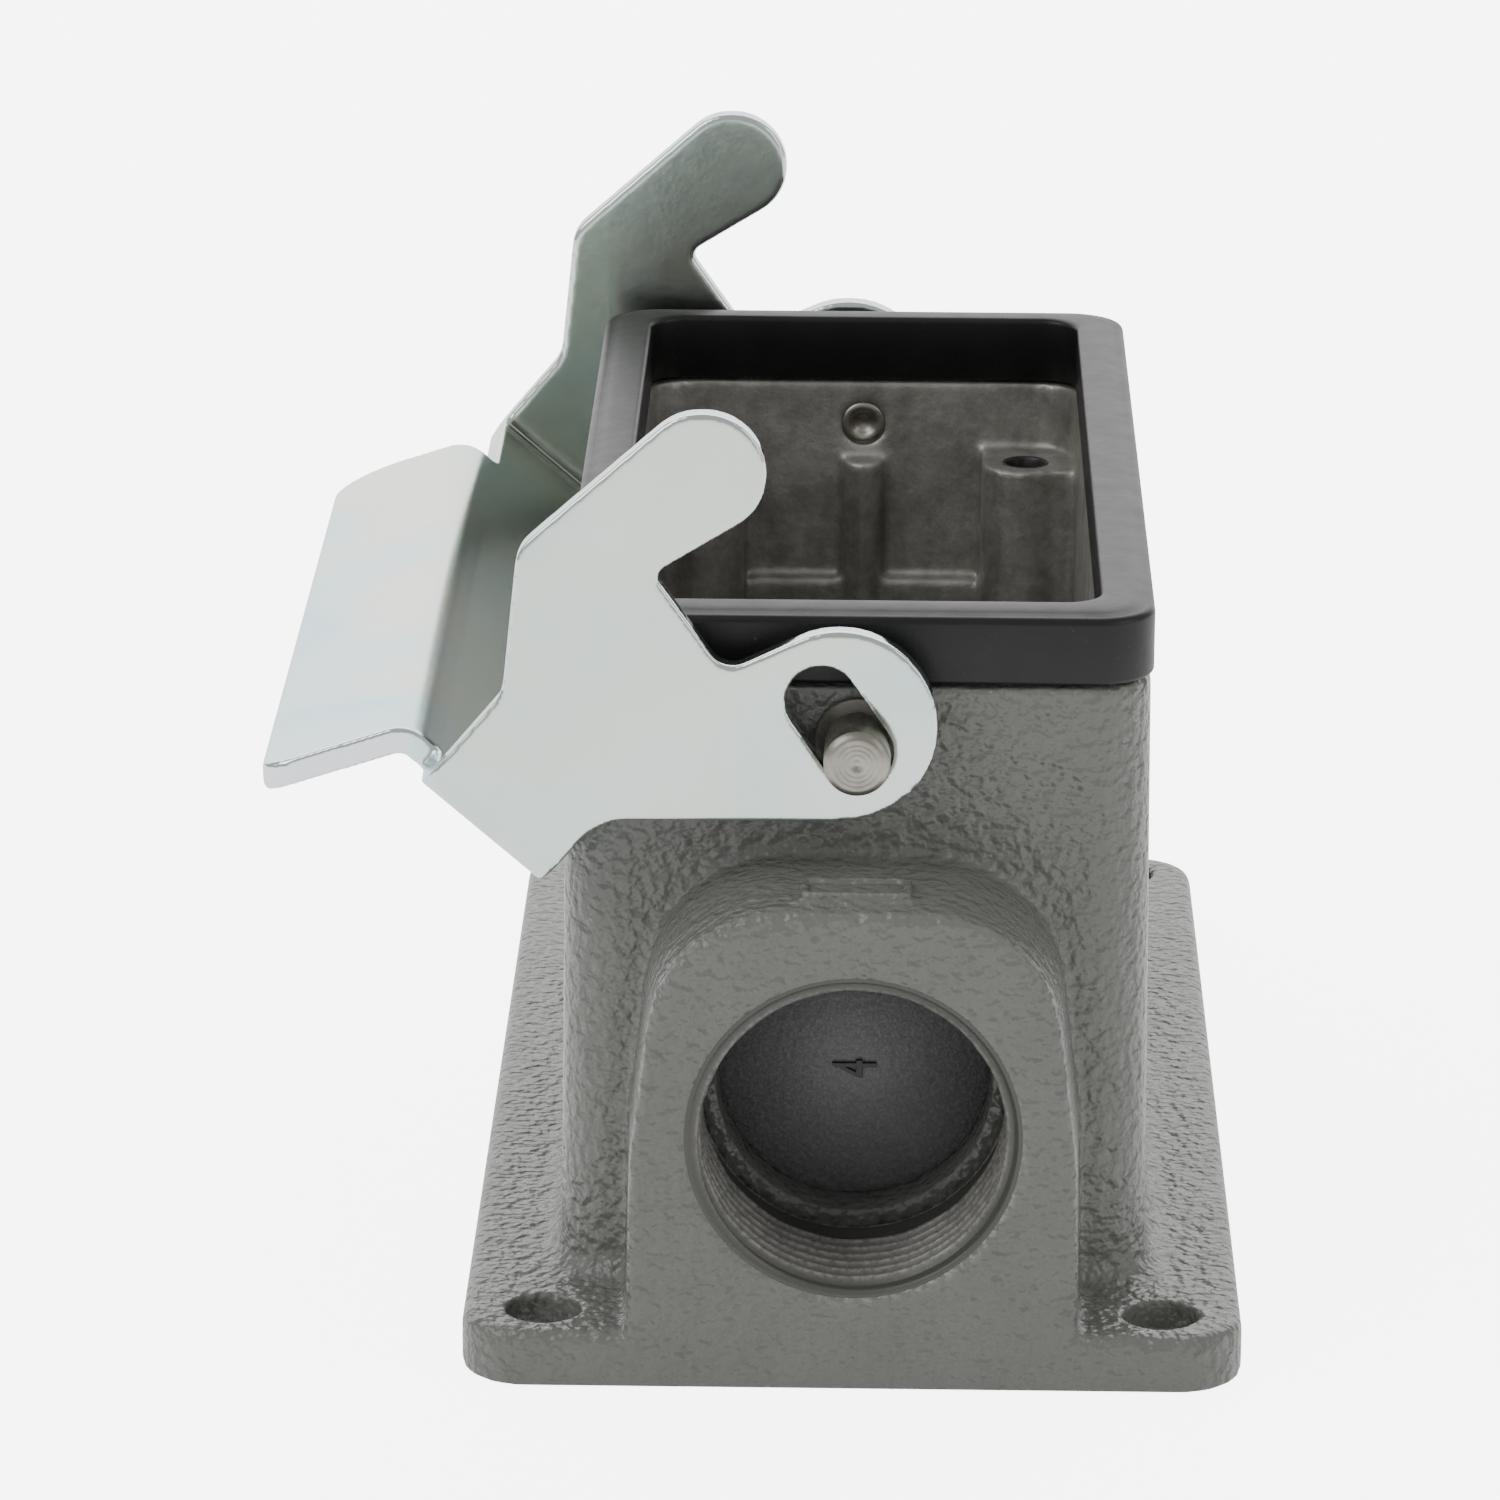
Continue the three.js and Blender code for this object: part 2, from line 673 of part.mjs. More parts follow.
function foldedChannel() {
  const geometry = new THREE.ExtrudeGeometry(channelSection(), {
    depth: 2 * CHANNEL_REACH,
    bevelEnabled: false,
  });
  const basis = new THREE.Matrix4().makeBasis(
    new THREE.Vector3(webOut[0], 0, webOut[1]),
    new THREE.Vector3(0, 1, 0),
    new THREE.Vector3(-webAlong[0], 0, -webAlong[1]),
  );
  geometry.translate(0, 0, -1.5 * CHANNEL_REACH);
  geometry.applyMatrix4(basis);
  return toSolid(geometry);
}

function armsAndWeb() {
  const outline = armOutline();
  outline.holes.push(slotHole());
  const side = ARM_INNER + SHEET + OVERLAP;
  return foldedChannel().intersect(pushLengthwise(outline, -side, side));
}

// Web top and handle flange as one bent strip, seen along the length. It is a hair
// thinner than the web so that the two join without sharing a face.
function handleStrip() {
  const outer = WEB_DISTANCE - JOIN_INSET;
  const thickness = SHEET - 2 * JOIN_INSET;
  const flangeAlong = [Math.cos(FLANGE_ANGLE), Math.sin(FLANGE_ANGLE)];
  const flangeUp = [Math.sin(FLANGE_ANGLE), -Math.cos(FLANGE_ANGLE)];
  const crease = webPoint(WEB_CREASE, outer);
  const reach = (distance, up) => [
    crease[0] + distance * flangeAlong[0] + up * flangeUp[0],
    crease[1] + distance * flangeAlong[1] + up * flangeUp[1],
  ];
  const shift = thickness * Math.tan((FLANGE_ANGLE - WEB_ANGLE) / 2);
  const corners = [
    [...webPoint(WEB_STEP - 2 * OVERLAP, outer - thickness), 0],
    [...webPoint(WEB_STEP - 2 * OVERLAP, outer), 0],
    [...crease, BEND_INNER],
    [...reach(FLANGE_REACH, 0), 0],
    [...reach(FLANGE_REACH, thickness), 0],
    [...webPoint(WEB_CREASE + shift, outer - thickness), BEND_INNER + thickness],
  ];
  return pushLengthwise(roundedOutline(corners), -ARM_INNER, ARM_INNER);
}

// Plan outline of the handle, which sets its ends and rounds its two outer corners.
function handlePlan() {
  const reach = FLANGE_REACH * Math.cos(FLANGE_ANGLE) + FLANGE_TRIM * Math.sin(FLANGE_ANGLE);
  const outerX = webPoint(WEB_CREASE, WEB_DISTANCE)[0] + reach;
  const corners = [
    [PLAN_START, FLANGE_NEAR, 0],
    [PLAN_START, FLANGE_FAR, 0],
    [outerX, FLANGE_FAR, FLANGE_FAR_CORNER],
    [outerX, FLANGE_NEAR, FLANGE_NEAR_CORNER],
  ];
  const geometry = new THREE.ExtrudeGeometry(roundedOutline(corners.reverse()), {
    depth: 2 * CHANNEL_REACH,
    bevelEnabled: false,
  });
  geometry.translate(0, 0, -CHANNEL_REACH);
  return toSolid(geometry);
}

function lockingLever() {
  const handle = handleStrip().intersect(handlePlan());
  const lever = armsAndWeb().add(handle);
  return toNode('locking_lever', lever.translate([0, BODY_SHIFT, PIVOT_Z]), platedSteel());
}

// ---- blanking disc: a flat disc behind the shoulder ring of the entry ----
function blankingDisc() {
  const radius = DISC_DIAMETER / 2;
  const profile = [
    [0, DISC_FACE],
    [radius, DISC_FACE],
    [radius, DISC_FACE + DISC_THICKNESS],
    [0, DISC_FACE + DISC_THICKNESS],
  ];
  return toNode('entry_blanking_disc', turned(profile, ENTRY_HEIGHT), darkPlastic());
}

const part = new THREE.Group();
part.name = 'lever_base_housing';
part.add(housing());
part.add(rimSeal());
part.add(pivotPin('front_pivot_pin', -1));
part.add(pivotPin('rear_pivot_pin', 1));
part.add(lockingLever());
part.add(blankingDisc());

export default part;
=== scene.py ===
import math

import bpy
import numpy as np
from mathutils import Matrix, Vector


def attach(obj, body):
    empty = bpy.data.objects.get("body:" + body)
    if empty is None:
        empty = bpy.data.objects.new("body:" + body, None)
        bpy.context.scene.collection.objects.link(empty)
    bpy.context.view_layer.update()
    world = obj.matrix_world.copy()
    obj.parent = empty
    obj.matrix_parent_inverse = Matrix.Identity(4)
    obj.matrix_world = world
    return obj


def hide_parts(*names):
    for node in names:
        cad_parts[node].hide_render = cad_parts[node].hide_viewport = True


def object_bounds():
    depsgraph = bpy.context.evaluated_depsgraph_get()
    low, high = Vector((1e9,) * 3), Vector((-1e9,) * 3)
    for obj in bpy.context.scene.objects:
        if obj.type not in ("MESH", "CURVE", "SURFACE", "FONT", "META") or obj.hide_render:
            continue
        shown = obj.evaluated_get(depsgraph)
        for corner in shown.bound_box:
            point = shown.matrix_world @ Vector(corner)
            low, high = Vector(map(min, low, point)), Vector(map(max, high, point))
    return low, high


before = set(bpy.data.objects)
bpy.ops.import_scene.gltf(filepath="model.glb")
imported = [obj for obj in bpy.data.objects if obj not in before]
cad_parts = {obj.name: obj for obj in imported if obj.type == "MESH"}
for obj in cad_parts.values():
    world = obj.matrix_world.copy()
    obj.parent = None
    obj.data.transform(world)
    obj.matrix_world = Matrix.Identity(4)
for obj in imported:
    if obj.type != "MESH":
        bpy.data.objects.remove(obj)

CAD_LOW, CAD_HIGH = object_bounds()
MM = 0.001

# ---- where things are, in millimetres, in the part's frame ----
BODY_SHIFT = 0.8
BODY_HALF_X = 21.7
BODY_HALF_Y = 47.15
WALL = 3.9
ENTRY_FACE = -57.5
ENTRY_HEIGHT = 19.35
MOUTH_RADIUS = 12.1
PIVOT_HEIGHT = 46.2
ARM_INNER = 49.05
BOSS_HALF_X = 16.4
BOSS_TOP = 36.4
FLANGE_TOP = 4.3
HOLE_X = 22.5
HOLE_Y = 52.5
HOLE_RADIUS = 2.75
POST_X = 13.5
POST_Y = 38.75
POST_TOP = 44.2
LEDGE_HALF_X = 9.4
LEDGE_TOP = 33.1
SEAL_HALF_X = 21.5
SEAL_HALF_Y = 46.75
SEAL_TOP = 55.4
SEAL_FOOT = 50.1
THREAD_PITCH = 1.5
THREAD_START = -57.4
MOUTH_FLARE = 0.25
MOUTH_FLARE_LENGTH = 0.6
THREAD_END = -46.9
THREAD_ROOT = 11.66
THREAD_CREST = 11.0
GROOVE_RADIUS = 12.05
GROOVE_END = -45.6
GROOVE_SLOPE = 0.8
SLEEVE_RADIUS = 11.55
SLEEVE_END = -44.2
SLEEVE_BACK_RADIUS = 12.4
THREAD_COLUMNS = 180
THREAD_ROWS = 132
THREAD_FADE_IN = 0.5
THREAD_FADE_OUT = 0.7
SHOULDER_FACE = -44.58
SHOULDER_BACK = -41.2
SHOULDER_INNER = 10.0
SHOULDER_MOUTH = 10.15
SHOULDER_OUTER = 12.0
DISC_FACE = -41.0
DISC_BACK = -40.1
DISC_RADIUS = 10.6
NUMERAL_HEIGHT = 19.1
NUMERAL_SHIFT = 0.2
NUMERAL_PROUD = 0.12
NUMERAL_WIDTH_SHARE = 0.62
PAD_HALF_X = 4.0
PAD_START = 2.2
PAD_END = 6.2
PAD_RISE = 0.85
PAD_CORNER = 0.9
SEAL_CORNER = 4.5
SEAL_INNER_CORNER = 3.0
SEAL_CHANNEL_TOP = 53.85
CORNER_STEPS = 14
PAD_CORNER_STEPS = 6
HANDLE_SLOPE = 18.1
LENS = 183.117
CAMERA_PLACE = (1.439, -573.738, 206.194)
CAMERA_TURN = (16.976, 0.999, 0.296)

FLOOR_GLOW_SEEN = 6.0
FLOOR_GLOW_MIRRORED = 0.8

HOUSING_BODY = "housing_body"
LEVER_BODY = "lever"


# ---- mesh helpers ----
def new_object(name, points, faces, smooth=True):
    mesh = bpy.data.meshes.new(name)
    mesh.from_pydata([Vector(p) * MM for p in points], [], faces)
    mesh.validate()
    mesh.update()
    piece = bpy.data.objects.new(name, mesh)
    bpy.context.scene.collection.objects.link(piece)
    if smooth:
        mesh.polygons.foreach_set("use_smooth", [True] * len(mesh.polygons))
    return piece


def coordinates(mesh):
    co = np.zeros(len(mesh.vertices) * 3, np.float32)
    mesh.vertices.foreach_get("co", co)
    return co.reshape(-1, 3).astype(float)


def set_coordinates(mesh, co):
    mesh.vertices.foreach_set("co", co.astype(np.float32).ravel())
    mesh.update()


def vertex_normals(mesh):
    normals = np.zeros(len(mesh.vertices) * 3, np.float32)
    mesh.vertex_normals.foreach_get("vector", normals)
    return normals.reshape(-1, 3).astype(float)


def apply_modifier(piece, kind, **settings):
    modifier = piece.modifiers.new(kind.lower(), kind)
    for key, value in settings.items():
        setattr(modifier, key, value)
    graph = bpy.context.evaluated_depsgraph_get()
    made = bpy.data.meshes.new_from_object(piece.evaluated_get(graph))
    piece.modifiers.clear()
    piece.data = made
    return made


def smooth_points(mesh, passes, weight):
    """Repeated averaging with the neighbours. Each vertex takes its own share, given by weight."""
    edges = np.zeros(len(mesh.edges) * 2, np.int64)
    mesh.edges.foreach_get("vertices", edges)
    first, second = edges.reshape(-1, 2).T
    co = coordinates(mesh)
    count = np.bincount(first, minlength=len(co)) + np.bincount(second, minlength=len(co))
    for _ in range(passes):
        total = np.stack([
            np.bincount(first, co[second, axis], len(co)) + np.bincount(second, co[first, axis], len(co))
            for axis in range(3)
        ], axis=1)
        co += weight[:, None] * (total / count[:, None] - co)
    set_coordinates(mesh, co)


def soft_copy(node, name, voxel_mm, passes, weight_of, keep):
    """A copy of a CAD node with every edge and inside corner softened, as a casting or blanked sheet has."""
    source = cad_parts[node]
    piece = bpy.data.objects.new(name, source.data.copy())
    piece.data.name = name
    piece.data.materials.clear()
    bpy.context.scene.collection.objects.link(piece)
    mesh = apply_modifier(piece, "REMESH", mode="VOXEL", voxel_size=voxel_mm * MM)
    smooth_points(mesh, passes, weight_of(coordinates(mesh) / MM))
    mesh = apply_modifier(piece, "DECIMATE", ratio=keep)
    mesh.polygons.foreach_set("use_smooth", [True] * len(mesh.polygons))
    return piece


def lathe(name, profile, axis_z, facing, steps=128):
    """A profile of (radius, distance) pairs turned about a lengthwise axis, facing +Y or -Y."""
    points, rings, faces = [], [], []
    for radius, along in profile:
        sides = steps if radius > 0 else 1
        rings.append([len(points) + i % sides for i in range(steps)])
        for i in range(sides):
            angle = 2 * math.pi * i / steps
            points.append((radius * math.cos(angle), facing * along, axis_z + radius * math.sin(angle)))
    for near, far in zip(rings, rings[1:]):
        for i in range(steps):
            following = (i + 1) % steps
            corners = list(dict.fromkeys([near[i], near[following], far[following], far[i]]))
            faces.append(corners if facing > 0 else corners[::-1])
    return new_object(name, points, faces)


def arc(centre, radius, start, end, steps):
    """Points of an arc in degrees, in a plane, from start to end."""
    turns = [math.radians(start + (end - start) * i / steps) for i in range(steps + 1)]
    return [(centre[0] + radius * math.cos(t), centre[1] + radius * math.sin(t)) for t in turns]


def rounded_plan(half_x, half_y, radius, steps):
    """Outline of a rounded rectangle; half_x and half_y reach to the centres of its corners."""
    points = []
    for sign_x, sign_y, turn in ((1, 1, 0), (-1, 1, 90), (-1, -1, 180), (1, -1, 270)):
        points += arc((sign_x * half_x, sign_y * half_y), radius, turn, turn + 90, steps)
    return points


def set_attribute(mesh, name, values):
    attribute = mesh.attributes.new(name, "FLOAT", "POINT")
    attribute.data.foreach_set("value", np.asarray(values, np.float32))


# ---- material helpers ----
class Nodes:
    """Short calls for building one material's node tree."""

    def __init__(self, name):
        self.material = bpy.data.materials.new(name)
        self.material.use_nodes = True
        self.tree = self.material.node_tree
        self.shader = self.tree.nodes["Principled BSDF"]
        self.place = self.add("ShaderNodeTexCoord").outputs["Object"]

    def add(self, kind, **settings):
        node = self.tree.nodes.new(kind)
        for key, value in settings.items():
            setattr(node, key, value)
        return node

    def link(self, source, target):
        self.tree.links.new(source, target)

    def set(self, **values):
        for key, value in values.items():
            self.shader.inputs[key.replace("_", " ")].default_value = value

    def noise(self, scale, detail=2.0, roughness=0.5, stretch=None):
        """Grey noise. Scale counts features per metre; stretch lengthens them along the axes."""
        node = self.add("ShaderNodeTexNoise")
        node.inputs["Scale"].default_value = scale
        node.inputs["Detail"].default_value = detail
        node.inputs["Roughness"].default_value = roughness
        place = self.place
        if stretch:
            mapping = self.add("ShaderNodeMapping")
            mapping.inputs["Scale"].default_value = stretch
            self.link(place, mapping.inputs["Vector"])
            place = mapping.outputs["Vector"]
        self.link(place, node.inputs["Vector"])
        return node.outputs["Fac"]

    def cells(self, scale, smoothness=1.0):
        node = self.add("ShaderNodeTexVoronoi", feature="SMOOTH_F1")
        node.inputs["Scale"].default_value = scale
        node.inputs["Smoothness"].default_value = smoothness
        self.link(self.place, node.inputs["Vector"])
        return node.outputs["Distance"]

    def ramp(self, source, stops):
        node = self.add("ShaderNodeValToRGB")
        elements = node.color_ramp.elements
        while len(elements) < len(stops):
            elements.new(0.5)
        for element, (position, color) in zip(elements, stops):
            element.position = position
            element.color = (*color, 1) if len(color) == 3 else color
        self.link(source, node.inputs["Fac"])
        return node.outputs["Color"]

    def levels(self, source, low, high):
        """Maps 0..1 to low..high."""
        node = self.add("ShaderNodeMapRange")
        node.inputs["To Min"].default_value = low
        node.inputs["To Max"].default_value = high
        self.link(source, node.inputs["Value"])
        return node.outputs["Result"]

    def math(self, operation, first, second):
        node = self.add("ShaderNodeMath", operation=operation)
        for slot, value in zip(node.inputs, (first, second)):
            if isinstance(value, (int, float)):
                slot.default_value = value
            else:
                self.link(value, slot)
        return node.outputs[0]

    def mix(self, share, first, second):
        node = self.add("ShaderNodeMix", data_type="RGBA")
        self.link(share, node.inputs["Factor"])
        for slot, value in ((node.inputs[6], first), (node.inputs[7], second)):
            if isinstance(value, tuple):
                slot.default_value = (*value, 1)
            else:
                self.link(value, slot)
        return node.outputs[2]

    def attribute(self, name):
        return self.add("ShaderNodeAttribute", attribute_name=name).outputs["Fac"]

    def bump(self, height, depth_mm, strength=1.0, under=None):
        node = self.add("ShaderNodeBump")
        node.inputs["Strength"].default_value = strength
        node.inputs["Distance"].default_value = depth_mm * MM
        self.link(height, node.inputs["Height"])
        if under:
            self.link(under, node.inputs["Normal"])
        return node.outputs["Normal"]


def coat_material():
    """Grey powder coat: a glossy skin with an orange-peel surface, rubbed bright at the entry's mouth."""
    n = Nodes("grey_powder_coat")
    tone = n.noise(120, 3)
    speck = n.noise(2600, 2)
    base = n.ramp(tone, [(0.3, (0.172, 0.174, 0.158)), (0.7, (0.192, 0.194, 0.177))])
    dusty = n.mix(n.levels(speck, 0, 0.16), base, (0.14, 0.14, 0.127))
    worn = n.attribute("wear")
    rubbed = n.ramp(n.noise(1500, 3), [(0.45, (0, 0, 0)), (0.6, (1, 1, 1))])
    share = n.math("MULTIPLY", worn, rubbed)
    n.link(n.mix(n.math("MULTIPLY", share, 0.7), dusty, (0.5, 0.49, 0.46)), n.shader.inputs["Base Color"])
    n.link(n.math("MULTIPLY", share, 0.5), n.shader.inputs["Metallic"])
    n.link(n.levels(n.noise(300, 2), 0.2, 0.28), n.shader.inputs["Roughness"])
    peel = n.cells(950, 1.0)
    ripple = n.noise(1450, 1.5, 0.4)
    body = n.bump(peel, 0.23, 1.0)
    n.link(n.bump(ripple, 0.34, 1.0, body), n.shader.inputs["Normal"])
    n.set(IOR=1.5)
    return n.material


def cast_material():
    """Bare cast aluminium inside the body: dark, brownish grey, faintly streaked along the draw."""
    n = Nodes("bare_cast_aluminium")
    cloud = n.noise(170, 5, 0.65)
    streak = n.noise(700, 3, 0.6, (1, 1, 0.1))
    stain = n.ramp(n.noise(420, 4, 0.7), [(0.42, (0, 0, 0)), (0.62, (1, 1, 1))])
    base = n.ramp(cloud, [(0.34, (0.17, 0.165, 0.15)), (0.66, (0.46, 0.45, 0.42))])
    brushed = n.mix(n.levels(streak, 0, 0.7), base, (0.5, 0.49, 0.455))
    stained = n.mix(n.math("MULTIPLY", stain, 0.35), brushed, (0.19, 0.178, 0.15))
    n.link(stained, n.shader.inputs["Base Color"])
    n.link(n.levels(streak, 0.32, 0.6), n.shader.inputs["Roughness"])
    n.link(n.bump(n.noise(1400, 3), 0.1, 0.6), n.shader.inputs["Normal"])
    n.set(Metallic=0.65)
    return n.material


def thread_material():
    """Cut thread: crests painted lighter and more metallic as painted highlight, roots painted darker than
    the coat as painted shade.
    """
    n = Nodes("cut_thread")
    crest = n.attribute("crest")
    patchy = n.ramp(n.noise(2400, 3), [(0.35, (0.3, 0.3, 0.3)), (0.62, (1, 1, 1))])
    share = n.math("MULTIPLY", crest, patchy)
    # Painted highlight on the crests and painted shade in the roots, on top of the ridges the thread's shape
    # already has.
    n.link(n.mix(share, (0.085, 0.085, 0.076), (0.46, 0.45, 0.41)), n.shader.inputs["Base Color"])
    n.link(n.levels(share, 0.0, 0.5), n.shader.inputs["Metallic"])
    n.link(n.levels(n.noise(1200, 2), 0.3, 0.5), n.shader.inputs["Roughness"])
    n.link(n.bump(n.noise(2500, 2), 0.05, 0.6), n.shader.inputs["Normal"])
    return n.material


def seal_material():
    """Moulded black rubber with a satin skin and a little dust."""
    n = Nodes("black_rubber")
    dust = n.ramp(n.noise(1900, 2, 0.6), [(0.70, (0, 0, 0)), (0.76, (1, 1, 1))])
    cloud = n.noise(160, 3)
    base = n.ramp(cloud, [(0.3, (0.008, 0.008, 0.0083)), (0.7, (0.0125, 0.0123, 0.0123))])
    n.link(n.mix(n.math("MULTIPLY", dust, 0.1), base, (0.3, 0.3, 0.29)), n.shader.inputs["Base Color"])
    n.link(n.levels(n.noise(450, 3), 0.33, 0.47), n.shader.inputs["Roughness"])
    n.link(n.bump(n.noise(1300, 3), 0.05, 0.35), n.shader.inputs["Normal"])
    n.set(Specular_IOR_Level=0.36)
    return n.material


def lever_material():
    """Zinc-plated sheet steel: pale grey-green faces, edges painted lighter as painted highlight, a faint
    tint on the handle.
    """
    n = Nodes("plated_sheet_steel")
    grain = n.noise(700, 4, 0.6)
    cloud = n.noise(75, 3, 0.6)
    face = n.ramp(cloud, [(0.32, (0.62, 0.74, 0.73)), (0.5, (0.68, 0.75, 0.66)), (0.68, (0.70, 0.78, 0.74))])
    tint = n.ramp(n.noise(38, 1.0, 0.35), [
        (0.28, (0.93, 0.86, 0.88)),
        (0.42, (0.93, 0.94, 0.82)),
        (0.55, (0.62, 0.88, 0.94)),
        (0.75, (0.80, 0.93, 0.97)),
    ])
    skin = n.mix(n.levels(n.attribute("handle"), 0.16, 1.0), face, tint)
    edge = n.attribute("edge")
    # The edges are mixed towards near-white: a painted highlight along the rounded edges.
    n.link(n.mix(edge, skin, (0.80, 0.85, 0.88)), n.shader.inputs["Base Color"])
    soft = n.levels(grain, 0.17, 0.25)
    n.link(n.math("SUBTRACT", soft, n.math("MULTIPLY", edge, 0.12)), n.shader.inputs["Roughness"])
    n.link(n.bump(n.noise(1800, 3, 0.6), 0.03, 0.3), n.shader.inputs["Normal"])
    n.set(Metallic=1.0)
    return n.material


def pin_material():
    """Turned plated steel."""
    n = Nodes("turned_steel")
    base = n.ramp(n.noise(400, 3), [(0.3, (0.27, 0.255, 0.22)), (0.7, (0.42, 0.405, 0.355))])
    n.link(base, n.shader.inputs["Base Color"])
    n.link(n.levels(n.noise(900, 3), 0.3, 0.5), n.shader.inputs["Roughness"])
    n.link(n.bump(n.noise(2200, 2), 0.03, 0.5), n.shader.inputs["Normal"])
    n.set(Metallic=1.0)
    return n.material


def disc_material():
    """Moulded dark blue-grey plastic with fine pale specks."""
    n = Nodes("dark_moulded_plastic")
    speck = n.ramp(n.noise(4800, 2, 0.6), [(0.45, (0, 0, 0)), (0.7, (1, 1, 1))])
    base = n.ramp(n.noise(90, 3), [(0.3, (0.22, 0.22, 0.23)), (0.7, (0.31, 0.31, 0.322))])
    n.link(n.mix(n.math("MULTIPLY", speck, 0.5), base, (0.48, 0.48, 0.495)), n.shader.inputs["Base Color"])
    n.link(n.levels(n.noise(600, 2), 0.42, 0.58), n.shader.inputs["Roughness"])
    n.link(n.bump(n.noise(2400, 3), 0.12, 0.9), n.shader.inputs["Normal"])
    return n.material


def hole_shade_and_numeral_material():
    """Near-black: painted shade inside the post holes, and the numeral's colour."""
    n = Nodes("painted_hole_shade_and_numeral_black")
    n.link(n.ramp(n.noise(1500), [(0.3, (0.02, 0.02, 0.021)), (0.7, (0.04, 0.04, 0.041))]),
           n.shader.inputs["Base Color"])
    n.set(Roughness=0.35)
    return n.material


def floor_material():
    """A white floor that looks evenly lit, and shows bright in glossy surfaces."""
    n = Nodes("pale_floor")
    n.set(Base_Color=(0.88, 0.88, 0.88, 1), Emission_Color=(1, 1, 1, 1), Roughness=0.9)
    ray = n.add("ShaderNodeLightPath")
    seen = n.math("MULTIPLY", ray.outputs["Is Camera Ray"], FLOOR_GLOW_SEEN)
    mirrored = n.math("MULTIPLY", ray.outputs["Is Glossy Ray"], FLOOR_GLOW_MIRRORED)
    n.link(n.math("ADD", seen, mirrored), n.shader.inputs["Emission Strength"])
    return n.material


# ---- pieces ----
def housing_weight(co):
    """How much each point of the casting is softened: most outside, least at cut edges and on the posts."""
    x, y, z = co.T
    end_gap = BODY_HALF_Y - WALL - np.abs(y - BODY_SHIFT)
    at_bore = (np.hypot(x, z - ENTRY_HEIGHT) < MOUTH_RADIUS + 0.8) & (y < BODY_SHIFT - BODY_HALF_Y + WALL)
    at_face = (y < ENTRY_FACE + 1.6) & (np.abs(x) < BOSS_HALF_X + 1.2) & (z > FLANGE_TOP + 2.5)
    at_hole = np.hypot(np.abs(x) - HOLE_X, np.abs(y) - HOLE_Y) < HOLE_RADIUS + 0.7
    on_ledge = is_inside(co) & (end_gap < 2.4) & (np.abs(x) < LEDGE_HALF_X + 1) & (z > LEDGE_TOP - 3)
    weight = np.where(is_inside(co) | at_bore | at_face | at_hole, 0.14, 0.5)
    return np.where(on_ledge, 0.5, weight)


def is_inside(co):
    across = np.abs(co[:, 0]) < BODY_HALF_X - WALL / 2
    along = np.abs(co[:, 1] - BODY_SHIFT) < BODY_HALF_Y - WALL / 2
    return across & along & (co[:, 2] > 2.6)


def housing_piece(coat, bare):
    """The softened casting: coat outside, bare metal inside, rubbed bright low on the entry's mouth."""
    piece = soft_copy("housing", "cast_housing", 0.3, 6, housing_weight, 0.22)
    mesh = piece.data
    mesh.materials.append(coat)
    mesh.materials.append(bare)
    co = coordinates(mesh) / MM
    inside = is_inside(co)
    index = [int(inside[list(p.vertices)].all()) for p in mesh.polygons]
    mesh.polygons.foreach_set("material_index", index)
    radius = np.hypot(co[:, 0], co[:, 2] - ENTRY_HEIGHT)
    near_rim = np.exp(-((radius - MOUTH_RADIUS) / 0.45) ** 2)
    near_mouth = near_rim * np.exp(-((co[:, 1] - ENTRY_FACE) / 0.5) ** 2)
    rise = (co[:, 2] - ENTRY_HEIGHT) / MOUTH_RADIUS
    low_side = np.clip(-0.35 - rise * 0.8 + co[:, 0] / MOUTH_RADIUS * 0.6, 0, 1)
    set_attribute(mesh, "wear", near_mouth * low_side)
    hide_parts("housing")
    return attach(piece, HOUSING_BODY)


def thread_row(y, turn_share):
    """Radius of the entry's wall and how much of a crest it is, at a place along it and round it."""
    if y > THREAD_END:
        rise = min(1, max(0, y - GROOVE_END) / GROOVE_SLOPE)
        return GROOVE_RADIUS - (GROOVE_RADIUS - SLEEVE_RADIUS) * rise, 0
    fade = min(1, (y - THREAD_START) / THREAD_FADE_IN, (THREAD_END - y) / THREAD_FADE_OUT)
    flare = max(0, 1 - (y - THREAD_START) / MOUTH_FLARE_LENGTH)
    phase = (y / THREAD_PITCH + turn_share) % 1
    height = max(0, 1 - 3 * abs(phase - 0.5)) * fade
    radius = THREAD_ROOT + MOUTH_FLARE * flare - (THREAD_ROOT - THREAD_CREST) * height
    return radius, height ** 3


def thread_piece(material):
    """The entry's thread as one helical ridge on a thin sleeve, with the groove that ends it."""
    turns, rows, back = THREAD_COLUMNS, THREAD_ROWS, SLEEVE_BACK_RADIUS
    points, faces, crests = [], [], []
    for row in range(rows + 1):
        y = THREAD_START + (SLEEVE_END - THREAD_START) * row / rows
        for i in range(turns):
            angle = 2 * math.pi * i / turns
            radius, crest = thread_row(y, i / turns)
            points.append((radius * math.cos(angle), y, ENTRY_HEIGHT + radius * math.sin(angle)))
            crests.append(crest)
    for y in (SLEEVE_END, THREAD_START):
        for i in range(turns):
            angle = 2 * math.pi * i / turns
            points.append((back * math.cos(angle), y, ENTRY_HEIGHT + back * math.sin(angle)))
            crests.append(0)
    levels = rows + 3
    for level in range(levels):
        upper = (level + 1) % levels
        for i in range(turns):
            after = (i + 1) % turns
            near, far = level * turns, upper * turns
            faces.append([near + i, far + i, far + after, near + after])
    piece = new_object("entry_thread", points, faces)
    # The crest share drives the painted highlight on the crests in the thread material.
    set_attribute(piece.data, "crest", crests)
    piece.data.materials.append(material)
    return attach(piece, HOUSING_BODY)


